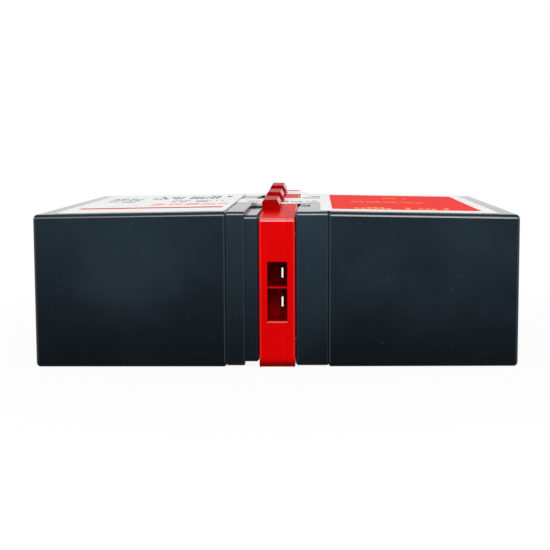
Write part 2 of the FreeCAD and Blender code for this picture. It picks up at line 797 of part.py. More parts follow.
os.makedirs("parts", exist_ok=True)
for name, shape in pack().items():
    shape.exportStep("parts/" + name + ".step")
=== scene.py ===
import math

import bmesh
import bpy
from mathutils import Matrix, Vector, noise


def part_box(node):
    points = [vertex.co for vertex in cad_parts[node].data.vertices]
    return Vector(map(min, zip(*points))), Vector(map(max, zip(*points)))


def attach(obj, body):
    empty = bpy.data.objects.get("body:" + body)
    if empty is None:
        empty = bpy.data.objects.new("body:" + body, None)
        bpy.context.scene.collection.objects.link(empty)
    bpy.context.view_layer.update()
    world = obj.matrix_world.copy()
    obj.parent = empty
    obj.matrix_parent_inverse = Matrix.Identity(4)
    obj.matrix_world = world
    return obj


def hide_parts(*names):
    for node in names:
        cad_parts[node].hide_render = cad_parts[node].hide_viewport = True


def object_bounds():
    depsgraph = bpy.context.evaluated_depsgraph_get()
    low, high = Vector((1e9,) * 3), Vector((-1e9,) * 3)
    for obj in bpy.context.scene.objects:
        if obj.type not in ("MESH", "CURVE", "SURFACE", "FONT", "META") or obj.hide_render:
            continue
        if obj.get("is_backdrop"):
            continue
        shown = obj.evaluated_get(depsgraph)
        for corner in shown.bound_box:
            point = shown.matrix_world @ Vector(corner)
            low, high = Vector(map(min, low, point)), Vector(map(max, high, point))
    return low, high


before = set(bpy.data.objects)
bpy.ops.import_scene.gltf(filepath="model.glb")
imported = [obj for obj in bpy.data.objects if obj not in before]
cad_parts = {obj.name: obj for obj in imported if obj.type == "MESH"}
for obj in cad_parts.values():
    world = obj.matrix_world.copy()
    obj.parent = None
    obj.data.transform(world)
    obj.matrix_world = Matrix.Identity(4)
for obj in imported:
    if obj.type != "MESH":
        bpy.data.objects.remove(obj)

bl_info = {
    "name": "UPS battery cartridge",
    "version": (1, 0, 0),
    "blender": (4, 5, 0),
    "location": "View3D > Sidebar > Cartridge",
    "description": "Finishes the cases, housing, labels and metalwork of a UPS battery cartridge",
    "category": "Object",
}

MM = 0.001
SIDES = ("left", "right")
CAD_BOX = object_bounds()
FILM = 0.2 * MM                 # thickness of the labels and strips
LUG_SIZE = (7.8 * MM, 20.0 * MM)        # across and along the pack
LUG_GAP = 0.4 * MM              # round a lug where it comes through a strip
LID_PLATEAU = 5.8 * MM          # flat part of a lid that a strip lies on
STRIP_LEAD = {"front": 7.0 * MM, "rear": -6.0 * MM}     # strip's front ahead of its lug's
FILM_STEP = 6.0 * MM
CREASE = math.radians(28)       # an outer edge sharper than this is rounded
SOFT = math.radians(40)         # an edge flatter than this is shaded smoothly
FLAT = math.cos(math.radians(10))
SEAM_REACH = 0.15 * MM          # edges this near the parting stay as moulded

# Normals' upward parts between which a rounded edge is fully polished, and the polish of other rounded
# edges; on the cases the same share also paints the colour lighter, as a painted highlight
HANDLED = 0.15
POLISHED_UP_TO = {"case_black": 0.5, "housing_red": 0.9, "tinned_brass": 0.9}
UPRIGHT_POLISH_AND_HIGHLIGHT = 0.22

# Heights and depths in millimetres, for the shading of the plastics
CASE_SHADE_HEIGHTS = (-6.0, 64.0)        # painted shade: containers are painted darkest at the foot
CASE_TONES = (5.0, 40.0)        # and their paler patches fade out downwards, as painted shade
SOCKET_DEPTH = (0.6, 5.0, 40.0)         # shading starts, is full and ends
SOCKET_HEIGHTS = (16.0, 47.0)
SOCKET_FADE = (19.0, 36.0)
FOOT_SHADE = (1.2, 4.2)
FOOT_DULL = (2.0, 4.0)          # no polish below, full polish above
EDGE_ON = (0.8, 0.96)           # Layer Weight values between which gloss sharpens

# Print
WORD = 7.0                      # bars and spaces in a word and the gap behind it
LINE_PITCH = 1.4                # of the height of the bars

# Stage
FLOOR_FADE = (110.0, 260.0)     # millimetres from the middle
PAPER = 0.9
OVERHEAD_BOX = ((0.0, 0.0, 1.2), 1.4)   # place and size, in metres
FRONT_BOX = ((0.1, -1.15, 0.65), 0.6)


# ------------------------------------------------------------------ sizes and colours
class PlasticSettings(bpy.types.PropertyGroup):
    """Moulded plastics of the cases and the housing."""
    case_colour: bpy.props.FloatVectorProperty(
        name="Case colour", description="Black plastic of the battery cases, with a blue cast",
        subtype="COLOR", size=3, min=0.0, max=1.0, default=(0.0106, 0.0196, 0.0275))
    lid_lift: bpy.props.FloatProperty(
        name="Lid tone", description="How much paler the lids' plastic is than the containers'",
        min=0.0, default=1.45)
    case_sheen: bpy.props.FloatProperty(
        name="Case roughness", description="Roughness of the battery cases",
        min=0.0, max=1.0, default=0.3)
    housing_colour: bpy.props.FloatVectorProperty(
        name="Housing colour", description="Red plastic of the connector housing",
        subtype="COLOR", size=3, min=0.0, max=1.0, default=(0.78, 0.0004, 0.0008))
    housing_sheen: bpy.props.FloatProperty(
        name="Housing roughness", description="Roughness of the connector housing",
        min=0.0, max=1.0, default=0.45)
    rim_gloss: bpy.props.FloatVectorProperty(
        name="Rim gloss", description="How far handling has polished the cases' and housing's edges",
        size=2, min=0.0, max=1.0, default=(1.0, 1.0))
    edge_round: bpy.props.FloatProperty(
        name="Edge rounding", description="Radius left by the mould on every outer edge",
        unit="LENGTH", min=0.0, default=0.28 * MM)
    container_round: bpy.props.FloatProperty(
        name="Container rounding", description="Radius of the containers' outer edges",
        unit="LENGTH", min=0.0, default=0.8 * MM)
    blade_round: bpy.props.FloatProperty(
        name="Blade rounding", description="Radius that stamping leaves on the blades' edges",
        unit="LENGTH", min=0.0, default=0.12 * MM)
    foot_round: bpy.props.FloatProperty(
        name="Foot rounding", description="Radius along the housing's lower front edge",
        unit="LENGTH", min=0.0, default=1.4 * MM)
    grain_size: bpy.props.FloatProperty(
        name="Grain size", description="Spacing of the mould's fine texture",
        unit="LENGTH", min=0.01 * MM, default=0.45 * MM)
    grain_height: bpy.props.FloatProperty(
        name="Grain height", description="Height of the mould's fine texture",
        unit="LENGTH", min=0.0, default=0.006 * MM)


class PrintSettings(bpy.types.PropertyGroup):
    """Film labels and their print."""
    film_colour: bpy.props.FloatVectorProperty(
        name="Film colour", description="White of the label film",
        subtype="COLOR", size=3, min=0.0, max=1.0, default=(0.94, 0.94, 0.93))
    panel_colour: bpy.props.FloatVectorProperty(
        name="Panel colour", description="Red field on the right label",
        subtype="COLOR", size=3, min=0.0, max=1.0, default=(0.93, 0.016, 0.009))
    ink_colour: bpy.props.FloatVectorProperty(
        name="Ink colour", description="Dark ink of the rows",
        subtype="COLOR", size=3, min=0.0, max=1.0, default=(0.02, 0.025, 0.03))
    rule_colour: bpy.props.FloatVectorProperty(
        name="Rule colour", description="Red ink of the rule and the small row",
        subtype="COLOR", size=3, min=0.0, max=1.0, default=(0.72, 0.04, 0.015))
    accent_colour: bpy.props.FloatVectorProperty(
        name="Accent colour", description="Yellow ink on the red field",
        subtype="COLOR", size=3, min=0.0, max=1.0, default=(0.95, 0.42, 0.05))
    corner: bpy.props.FloatProperty(
        name="Corner radius", description="Radius of the labels' corners",
        unit="LENGTH", min=0.0, default=1.5 * MM)
    ripple: bpy.props.FloatProperty(
        name="Ripple", description="Height of the film's slight waves",
        unit="LENGTH", min=0.0, default=0.05 * MM)


class StageSettings(bpy.types.PropertyGroup):
    """Camera, lamps and floor."""
    camera_place: bpy.props.FloatVectorProperty(
        name="Camera place", description="Where the camera stands",
        subtype="XYZ", unit="LENGTH", size=3, default=(16.7 * MM, -528.3 * MM, 94.9 * MM))
    camera_pitch: bpy.props.FloatProperty(
        name="Camera pitch", description="How far the camera looks down",
        unit="ROTATION", default=math.radians(5.47))
    camera_yaw: bpy.props.FloatProperty(
        name="Camera yaw", description="How far the camera turns to the left",
        unit="ROTATION", default=math.radians(-0.385))
    lens: bpy.props.FloatProperty(
        name="Lens", description="Focal length in millimetres on a 36 mm sensor",
        min=1.0, default=72.09)
    shift: bpy.props.FloatVectorProperty(
        name="Lens shift", description="Sideways and upward shift, as a share of the frame",
        size=2, default=(-0.0904, -0.0557))
    daylight: bpy.props.FloatProperty(
        name="Surrounding light", description="Strength of the even light from all round",
        min=0.0, default=0.62)
    overhead_level: bpy.props.FloatProperty(
        name="Overhead level", description="Light that the wide overhead softbox adds on top",
        min=0.0, default=0.22)
    front_level: bpy.props.FloatProperty(
        name="Front level", description="Light that the small front softbox adds in front",
        min=0.0, default=0.34)
    paper_glow: bpy.props.FloatProperty(
        name="Paper white", description="Share of plain white in the floor as it is seen near by",
        min=0.0, max=1.0, default=0.92)


class CartridgeSettings(bpy.types.PropertyGroup):
    """All the settings of the cartridge."""
    plastic: bpy.props.PointerProperty(type=PlasticSettings)
    print: bpy.props.PointerProperty(type=PrintSettings)
    stage: bpy.props.PointerProperty(type=StageSettings)


# ------------------------------------------------------------------ shader writing
class Signal:
    """A number that varies over a surface; arithmetic on it adds Math nodes."""

    def __init__(self, finish, socket):
        self.finish = finish
        self.socket = socket

    def math(self, operation, *others):
        values = {0: self}
        values.update({index + 1: other for index, other in enumerate(others)})
        return self.finish.signal("ShaderNodeMath", {"operation": operation}, values)

    def reflected(self, operation, first):
        node = self.finish.node("ShaderNodeMath", {"operation": operation}, {0: first, 1: self})
        return Signal(self.finish, node.outputs[0])

    def __add__(self, other):
        return self.math("ADD", other)

    def __radd__(self, other):
        return self.reflected("ADD", other)

    def __sub__(self, other):
        return self.math("SUBTRACT", other)

    def __mul__(self, other):
        return self.math("MULTIPLY", other)

    def __rmul__(self, other):
        return self.reflected("MULTIPLY", other)

    def __truediv__(self, other):
        return self.math("DIVIDE", other)

    def __gt__(self, other):
        return self.math("GREATER_THAN", other)

    def __lt__(self, other):
        return self.math("LESS_THAN", other)

    def floor(self):
        return self.math("FLOOR")

    def fraction(self):
        return self.math("FRACT")

    def either(self, other):
        """The larger of two masks."""
        return self.math("MAXIMUM", other)

    def within(self, low, high):
        """1 between two values and 0 outside them."""
        return (self > low) * (self < high)

    def ramp(self, low, high, start=0.0, end=1.0):
        """Smooth change from start to end as the value goes from low to high."""
        return self.finish.signal(
            "ShaderNodeMapRange", {"interpolation_type": "SMOOTHSTEP"},
            {"Value": self, "From Min": low, "From Max": high, "To Min": start, "To Max": end})


class Finish:
    """One procedural material on the object's own coordinates."""

    def __init__(self, name):
        self.material = bpy.data.materials.new(name)
        self.material.use_nodes = True
        self.tree = self.material.node_tree
        self.tree.nodes.clear()
        self.place = self.node("ShaderNodeTexCoord", {}, {}).outputs["Object"]

    def node(self, kind, settings, values):
        """Any node: its settings first, then the values or links of its sockets."""
        node = self.tree.nodes.new(kind)
        for name, value in settings.items():
            setattr(node, name, value)
        for key, value in values.items():
            socket = node.inputs[key]
            if isinstance(value, Signal):
                value = value.socket
            if isinstance(value, bpy.types.NodeSocket):
                self.tree.links.new(value, socket)
            else:
                socket.default_value = value
        return node

    def signal(self, kind, settings, values, output=0):
        """The number that a new node puts out."""
        return Signal(self, self.node(kind, settings, values).outputs[output])

    def axes(self):
        """X, Y and Z of a surface point, in millimetres."""
        split = self.node("ShaderNodeSeparateXYZ", {}, {0: self.place})
        return [Signal(self, split.outputs[axis]) * (1.0 / MM) for axis in range(3)]

    def rim(self):
        """1 on the faces of rounded edges and 0 on the flats, from the piece's own attribute."""
        return self.signal("ShaderNodeAttribute", {"attribute_name": "rim"}, {}, output="Fac")

    def grazing(self, end):
        """1 where the surface is seen steeply, down to an end value where it is seen edge-on."""
        facing = self.signal("ShaderNodeLayerWeight", {}, {"Blend": 0.5}, output="Facing")
        return facing.ramp(*EDGE_ON, 1.0, end)

    def cloud(self, size, detail=2.0, roughness=0.5, stretch=(1.0, 1.0, 1.0), shift=0.0):
        """Soft noise between 0 and 1 with features of about a size in metres."""
        placed = self.node("ShaderNodeMapping", {}, {
            "Vector": self.place, "Scale": stretch, "Location": (shift, shift, shift)})
        return self.signal("ShaderNodeTexNoise", {}, {
            "Vector": placed.outputs[0], "Scale": 1.0 / size, "Detail": detail,
            "Roughness": roughness})

    def specks(self, size, share, shift=0.0):
        """Small round marks, on a share of the cells of a given size."""
        placed = self.node("ShaderNodeMapping", {}, {
            "Vector": self.place, "Location": (shift, shift, shift)})
        cells = self.node("ShaderNodeTexVoronoi", {}, {
            "Vector": placed.outputs[0], "Scale": 1.0 / size, "Randomness": 1.0})
        pick = self.signal("ShaderNodeSeparateColor", {}, {0: cells.outputs["Color"]})
        near = Signal(self, cells.outputs["Distance"]).ramp(0.06, 0.2, 1.0, 0.0)
        return near * (pick < share)

    def blend(self, mask, first, second):
        """Colour that goes from the first to the second as the mask goes from 0 to 1."""
        mix = self.node("ShaderNodeMix", {"data_type": "RGBA"}, {
            "Factor": mask, 6: self.colour(first), 7: self.colour(second)})
        return mix.outputs[2]

    @staticmethod
    def colour(value):
        if isinstance(value, bpy.types.NodeSocket):
            return value
        return (*value, 1.0)

    def bump(self, height, distance, strength=1.0):
        return self.node("ShaderNodeBump", {}, {
            "Height": height, "Distance": distance, "Strength": strength}).outputs[0]

    def surface(self, base, roughness, normal=None, **constants):
        """The Principled shader, with its plain numbers set on its own sockets."""
        values = {"Base Color": self.colour(base), "Roughness": roughness}
        if normal is not None:
            values["Normal"] = normal
        values.update({name.replace("_", " ").title().replace("Ior", "IOR"): value
                       for name, value in constants.items()})
        shader = self.node("ShaderNodeBsdfPrincipled", {}, values)
        self.node("ShaderNodeOutputMaterial", {}, {"Surface": shader.outputs[0]})
        return self.material


def settings():
    return bpy.context.scene.cartridge


# ------------------------------------------------------------------ finishes
def case_plastic(name, lift):
    """Black plastic of the cases: fine grain, slow tone changes, dust, polished edges with a painted
    highlight, and painted shade towards the foot.
    """
    look = settings().plastic
    finish = Finish(name)
    height = finish.axes()[2]
    rim = finish.rim()
    tone = finish.cloud(45 * MM, detail=3.0)
    rub = finish.cloud(5 * MM, detail=5.0, roughness=0.7, stretch=(0.6, 0.6, 1.0), shift=0.3)
    rub = rub.ramp(0.54, 0.8) * finish.cloud(40 * MM, shift=2.3).ramp(0.42, 0.65)
    dust = finish.specks(2.4 * MM, 0.3).either(finish.specks(1.3 * MM, 0.12, shift=0.7))
    dust = dust * finish.cloud(25 * MM, shift=1.1).ramp(0.4, 0.7)
    plain = [channel * lift for channel in look.case_colour]
    deep = [channel * 0.25 for channel in plain]
    pale = [channel * 1.5 + 0.003 for channel in plain]
    worn_and_highlight = [channel * 2.0 + 0.03 for channel in look.case_colour]
    # Painted shade: the colour darkens towards the containers' foot.
    colour = finish.blend(height.ramp(*CASE_SHADE_HEIGHTS), deep, plain)
    # Paler patches of random tone, faded out downwards as painted shade.
    pale_patches_and_shade = tone.ramp(0.4, 0.75, 0.0, 0.6) * height.ramp(*CASE_TONES, 0.25, 1.0)
    colour = finish.blend(pale_patches_and_shade, colour, pale)
    # Rubbing and dust lighten the colour as real wear; on the rounded edges the lighter colour is a
    # painted highlight, strongest on the lower part of the upper edges.
    colour = finish.blend((rub * 0.22).either(dust * 0.7).either(rim * 0.35), colour, worn_and_highlight)
    grain = finish.cloud(look.grain_size)
    normal = finish.bump(grain, look.grain_height)
    rough = (look.case_sheen + rub * 0.1 + (tone - 0.5) * 0.1) * finish.grazing(0.2)
    return finish.surface(colour, rough, normal, ior=1.12, coat_weight=rim * look.rim_gloss[0],
                          coat_roughness=0.28, coat_ior=1.9)


def housing_plastic():
    """Red plastic of the housing: even colour, faint flow marks, satin grain, lugs painted darker as
    shade, and painted shade in the socket and along the foot.
    """
    look = settings().plastic
    finish = Finish("housing_plastic")
    along, height = finish.axes()[1:]
    rim = finish.rim()
    flow = finish.cloud(22 * MM, detail=3.0, stretch=(1.0, 1.0, 0.4))
    deep = [channel * 0.86 for channel in look.housing_colour]
    dark = [channel * 0.54 for channel in look.housing_colour]
    shade = [channel * 0.3 for channel in look.housing_colour]
    colour = finish.blend(flow.ramp(0.35, 0.7), tuple(look.housing_colour), deep)
    middle = housing_top(0.0) / MM
    slope = (housing_top(MM) - housing_top(0.0)) / MM
    # Painted shade: the lugs above the housing's top are painted darker.
    lug_shade = (height - along * slope).ramp(middle + 0.1, middle + 0.5)
    colour = finish.blend(lug_shade, colour, dark)
    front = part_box("housing_tray")[0][1] / MM
    start, full, end = (front + depth for depth in SOCKET_DEPTH)
    # Painted shade inside the socket's recess, lighter towards its lower part.
    socket = along.ramp(start, full) * (along < end)
    socket = socket * height.within(*SOCKET_HEIGHTS)
    socket = socket * height.ramp(*SOCKET_FADE, 0.72, 1.0)
    # Painted shade along the housing's foot.
    foot = height.ramp(*FOOT_SHADE, 1.0, 0.0)
    colour = finish.blend(socket.either(foot), colour, shade)
    grain = finish.cloud(look.grain_size)
    normal = finish.bump(grain, look.grain_height * 1.5)
    rough = (look.housing_sheen + (flow - 0.5) * 0.12) * finish.grazing(0.75)
    return finish.surface(colour, rough, normal, ior=1.08,
                          coat_weight=rim * height.ramp(*FOOT_DULL) * look.rim_gloss[1],
                          coat_roughness=0.35, coat_ior=2.0)


def print_row(finish, x, y, span, front, height, pitch, seed):
    """One line of short bars of uneven height, in word-like groups."""
    cell = ((x - span[0]) / pitch).floor()
    chance = finish.signal("ShaderNodeTexWhiteNoise", {"noise_dimensions": "1D"}, {
        "W": cell + seed})
    group = finish.signal("ShaderNodeTexWhiteNoise", {"noise_dimensions": "1D"}, {
        "W": (cell / WORD).floor() + seed * 3.7})
    part = ((x - span[0]) / pitch).fraction()
    top = front + height * (0.62 + 0.38 * (chance > 0.45))
    bar = part.within(0.1, 0.84) * (chance > 0.1)
    wanted = ((cell / WORD).fraction() < 0.8) * (group > 0.05)
    inside = x.within(*span) * (y > front) * (y < top)
    return bar * wanted * inside


def film(name, rows=(), panel=None, rule=None):
    """Film with blocks of bars: (span, front, height, pitch, lines, ink), in millimetres."""
    look = settings().print
    finish = Finish(name)
    x, y, z = finish.axes()
    colour = tuple(look.film_colour)
    if panel:
        field = x.within(*panel[0]) * y.within(*panel[1])
        colour = finish.blend(field, colour, tuple(look.panel_colour))
    if rule:
        line = x.within(*rule[0]) * y.within(*rule[1])
        colour = finish.blend(line, colour, tuple(look.rule_colour))
    for index, (span, front, height, pitch, lines, ink) in enumerate(rows):
        for line in range(lines):
            seed = 11.0 + 5.3 * index + 1.7 * line
            row = print_row(finish, x, y, span, front + line * height * LINE_PITCH, height, pitch, seed)
            colour = finish.blend(row, colour, tuple(getattr(look, ink)))
    crinkle = finish.cloud(14 * MM)
    normal = finish.bump(crinkle, 0.06 * MM)
    return finish.surface(colour, 0.5 + crinkle * 0.1, normal, specular_ior_level=0.03)


def tin():
    """Tinned brass: bright, with rolled streaks and a few dull spots."""
    finish = Finish("tinned_brass")
    streak = finish.cloud(0.5 * MM, stretch=(1.0, 0.08, 1.0))
    dull = finish.cloud(2.5 * MM).ramp(0.5, 0.75)
    colour = finish.blend(dull * 0.5, (0.97, 0.95, 0.92), (0.78, 0.75, 0.7))
    return finish.surface(colour, 0.24 + dull * 0.16 + streak * 0.08,
                          finish.bump(streak, 0.01 * MM), metallic=1.0)


def cast_lead(name, colour, deep):
    """Lead plates and straps: grey or brown, pasted and porous."""
    finish = Finish(name)
    paste = finish.cloud(1.6 * MM, detail=4.0)
    tint = finish.blend(paste.ramp(0.35, 0.7), colour, deep)
    return finish.surface(tint, 0.62 + paste * 0.2, finish.bump(paste, 0.08 * MM), metallic=0.35)


def glass_mat():
    """White glass mat with matted fibres."""
    finish = Finish("glass_mat")
    fibre = finish.cloud(0.35 * MM, detail=3.0, stretch=(1.0, 0.25, 1.0))
    tint = finish.blend(fibre.ramp(0.3, 0.7), (0.82, 0.82, 0.8), (0.68, 0.68, 0.66))
    return finish.surface(tint, 0.9, finish.bump(fibre, 0.05 * MM))


def rubber():
    """Black rubber of the valve caps."""
    finish = Finish("valve_rubber")
    bloom = finish.cloud(3.0 * MM, detail=3.0)
    tint = finish.blend(bloom.ramp(0.45, 0.8), (0.012, 0.012, 0.012), (0.035, 0.034, 0.032))
    return finish.surface(tint, 0.62 + bloom * 0.2, finish.bump(bloom, 0.02 * MM))


def resin():
    """Poured resin, glossy with slow waves."""
    finish = Finish("resin")
    wave = finish.cloud(4.0 * MM, detail=1.0)
    tint = finish.blend(wave, (0.01, 0.011, 0.013), (0.02, 0.022, 0.026))
    return finish.surface(tint, 0.18 + wave * 0.1, finish.bump(wave, 0.08 * MM), ior=1.52)


def jacket(name, colour):
    """Soft PVC of a lead's jacket."""
    finish = Finish(name)
    skin = finish.cloud(1.2 * MM, detail=3.0)
    dark = [channel * 0.7 for channel in colour]
    tint = finish.blend(skin.ramp(0.4, 0.7), colour, dark)
    return finish.surface(tint, 0.42 + skin * 0.14, finish.bump(skin, 0.02 * MM))


# ------------------------------------------------------------------ making pieces
def add_piece(name, bm, material, replaced):
    """A finished mesh as a piece that rides on the pack and stands for its CAD node."""
    mesh = bpy.data.meshes.new(name)
    bm.to_mesh(mesh)
    bm.free()
    mesh.materials.append(material)
    piece = bpy.data.objects.new(name, mesh)
    bpy.context.scene.collection.objects.link(piece)
    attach(piece, "root")
    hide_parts(replaced)
    return piece


def merged_copy(node):
    """A closed bmesh of a CAD node, with its flat faces whole again."""
    bm = bmesh.new()
    bm.from_mesh(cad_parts[node].data)
    bmesh.ops.remove_doubles(bm, verts=bm.verts, dist=0.002 * MM)
    bmesh.ops.dissolve_limit(bm, angle_limit=math.radians(0.5), verts=bm.verts, edges=bm.edges)
    return bm


def round_edges(bm, edges, radius, segments=3):
    bmesh.ops.bevel(bm, geom=edges, offset=radius, offset_type="OFFSET", segments=segments,
                    profile=0.5, affect="EDGES", clamp_overlap=True, material=-1)


def polish(normal, slot):
    """How polished a face is: most on the lower part of an upper edge, and never on a flat. On the cases
    it also sets a painted highlight in the colour.
    """
    if max(abs(part) for part in normal) > FLAT or normal.z < -HANDLED:
        return 0.0
    if normal.z > POLISHED_UP_TO[slot]:
        return 0.0
    return 1.0 if normal.z > HANDLED else UPRIGHT_POLISH_AND_HIGHLIGHT


def near_seam(item, seam):
    """Whether an edge or a face lies along the parting at a given X."""
    return seam is not None and all(abs(vert.co.x - seam) < SEAM_REACH for vert in item.verts)


def moulded(name, bm, material, slot, node, edge_round, seam=None):
    """A shell with its outer edges rounded as a mould leaves them, smooth across the rounding."""
    outer = [edge for edge in bm.edges
             if edge.calc_face_angle_signed() > CREASE and not near_seam(edge, seam)]
    round_edges(bm, outer, edge_round)
    rim = bm.faces.layers.float.new("rim")
    for face in bm.faces:
        face.smooth = True
        face[rim] = 0.0 if near_seam(face, seam) else polish(face.normal, slot)
    for edge in bm.edges:
        edge.smooth = edge.calc_face_angle() < SOFT
    piece = add_piece(name, bm, material, node)
    even = piece.modifiers.new("even_shading", "WEIGHTED_NORMAL")
    even.keep_sharp = True
    return piece


def film_piece(name, material, node, profile, holes=(), corner=0.0, ripple=0.0):
    """Thin film over a line of (x, height at y) points, between the node's two ends."""
    low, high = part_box(node)
    places = [x for x, rise in profile]
    bm = bmesh.new()
    bmesh.ops.create_grid(bm, x_segments=1, y_segments=1, size=0.5)
    bmesh.ops.scale(bm, vec=(places[-1] - places[0], high[1] - low[1], 1.0), verts=bm.verts)
    bmesh.ops.translate(bm, vec=((places[0] + places[-1]) / 2, (low[1] + high[1]) / 2, 0.0),
                        verts=bm.verts)
    if corner:
        bmesh.ops.bevel(bm, geom=list(bm.verts), offset=corner, offset_type="OFFSET", segments=5,
                        profile=0.5, affect="VERTICES", material=-1)
    columns = places[1:-1] + steps(places[0], places[-1], FILM_STEP)
    rows = steps(low[1], high[1], FILM_STEP)
    for x0, x1, y0, y1 in holes:
        columns += [x0, x1]
        rows += [y0, y1]
    for axis, cuts in enumerate((columns, rows)):
        normal = (1.0 - axis, float(axis), 0.0)
        for place in cuts:
            bmesh.ops.bisect_plane(bm, geom=bm.verts[:] + bm.edges[:] + bm.faces[:],
                                   plane_co=[place * part for part in normal], plane_no=normal)
    gone = [face for face in bm.faces for x0, x1, y0, y1 in holes
            if x0 < face.calc_center_median().x < x1 and y0 < face.calc_center_median().y < y1]
    bmesh.ops.delete(bm, geom=gone, context="FACES")
    for vert in bm.verts:
        wave = 0.5 + 0.5 * noise.noise(vert.co / FILM_STEP * 0.4)
        vert.co.z = between(profile, vert.co.x, vert.co.y) + ripple * wave
    shell = bmesh.ops.extrude_face_region(bm, geom=bm.faces[:])
    top = [item for item in shell["geom"] if isinstance(item, bmesh.types.BMVert)]
    bmesh.ops.translate(bm, vec=(0.0, 0.0, FILM), verts=top)
    bmesh.ops.recalc_face_normals(bm, faces=bm.faces)
    return add_piece(name, bm, material, node)


def steps(start, end, pitch):
    """Even places between two ends, about a pitch apart."""
    count = round((end - start) / pitch)
    return [start + (end - start) * index / count for index in range(1, count)]


def between(profile, x, y):
    """Height of a profile at a place, from its two neighbouring points."""
    for (x0, rise0), (x1, rise1) in zip(profile, profile[1:]):
        if x <= x1:
            share = (x - x0) / (x1 - x0)
            return rise0(y) * (1.0 - share) + rise1(y) * share
    return profile[-1][1](y)


def level(height):
    """A rise that is the same all along the pack."""
    return lambda y: height


def housing_top(y):
    """Height of the housing's sloping top, which the two strips lie on."""
    front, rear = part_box("front_strip")[1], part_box("rear_strip")[1]
    slope = (rear[2] - front[2]) / (rear[1] - front[1])
    return front[2] - FILM + slope * (y - front[1])


def dress(node, material):
    """Gives a CAD node its finish."""
    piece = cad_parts[node]
    for place in piece.material_slots:
        place.material = material


class CARTRIDGE_OT_cases(bpy.types.Operator):
    """Battery containers, lids and vent covers in black plastic"""
    bl_idname = "cartridge.cases"
    bl_label = "Battery cases"

    def execute(self, context):
        look = settings().plastic
        shell = case_plastic("container_plastic", 1.0)
        paler = case_plastic("lid_plastic", look.lid_lift)
        for side in SIDES:
            for part, plastic, radius in (("container", shell, look.container_round),
                                          ("lid", paler, look.edge_round),
                                          ("vent_cover", paler, look.edge_round)):
                node = f"{side}_{part}"
                moulded(f"{node}_shell", merged_copy(node), plastic, "case_black", node, radius)
        return {"FINISHED"}


class CARTRIDGE_OT_housing(bpy.types.Operator):
    """Tray and cover of the connector housing in red plastic"""
    bl_idname = "cartridge.housing"
    bl_label = "Connector housing"

    def execute(self, context):
        look = settings().plastic
        plastic = housing_plastic()
        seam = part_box("housing_tray")[1][0]
        for part in ("tray", "cover"):
            node = f"housing_{part}"
            bm = merged_copy(node)
            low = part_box(node)[0]
            foot = [edge for edge in bm.edges
                    if all(abs(vert.co.y - low[1]) < 0.01 * MM and vert.co.z < 0.01 * MM
                           for vert in edge.verts)]
            round_edges(bm, foot, look.foot_round, segments=4)
            moulded(f"{node}_shell", bm, plastic, "housing_red", node, look.edge_round, seam)
        return {"FINISHED"}


class CARTRIDGE_OT_inside(bpy.types.Operator):
    """Plates, separators, valves, resin, metalwork and leads"""
    bl_idname = "cartridge.inside"
    bl_label = "Cells and metalwork"

    def execute(self, context):
        look = settings().plastic
        metal = tin()
        cap_rubber = rubber()
        potting = resin()
        mat = glass_mat()
        plates = {"positive": cast_lead("positive_plate", (0.10, 0.055, 0.035), (0.05, 0.03, 0.02)),
                  "negative": cast_lead("negative_plate", (0.30, 0.31, 0.33), (0.18, 0.19, 0.2))}
        post = cast_lead("post_lead", (0.42, 0.43, 0.45), (0.3, 0.31, 0.32))
        for side in SIDES:
            dress(f"{side}_valve_caps", cap_rubber)
            dress(f"{side}_terminal_seals", potting)
            dress(f"{side}_separators", mat)
            for pole, plate in plates.items():
                dress(f"{side}_{pole}_plates", plate)
                dress(f"{side}_{pole}_terminal", metal)
                dress(f"{side}_{pole}_receptacle", metal)
        for pole in plates:
            moulded(f"{pole}_blade_strip", merged_copy(f"{pole}_blade"), metal, "tinned_brass",
                    f"{pole}_blade", look.blade_round)
        black = jacket("black_jacket", (0.012, 0.012, 0.013))
        red = jacket("red_jacket", (0.42, 0.008, 0.006))
        for name, colour in (("negative", black), ("series", black), ("positive", red)):
            dress(f"{name}_lead", colour)
        return {"FINISHED"}


LEFT_ROWS = (
    ((-60.0, -25.0), -25.0, 3.4, 1.1, 3, "rule_colour"),
    ((-66.5, -27.0), 27.0, 9.0, 2.6, 2, "ink_colour"),
    ((-54.0, -26.0), 0.0, 5.0, 1.5, 2, "ink_colour"),
    ((-86.0, -71.0), 1.0, 3.4, 1.2, 8, "ink_colour"),
)
RIGHT_ROWS = (
    ((32.5, 74.0), -54.0, 10.0, 2.8, 1, "accent_colour"),
    ((32.5, 67.0), -6.0, 3.2, 1.1, 2, "accent_colour"),
    ((50.0, 62.0), 28.0, 3.6, 1.2, 2, "accent_colour"),
)


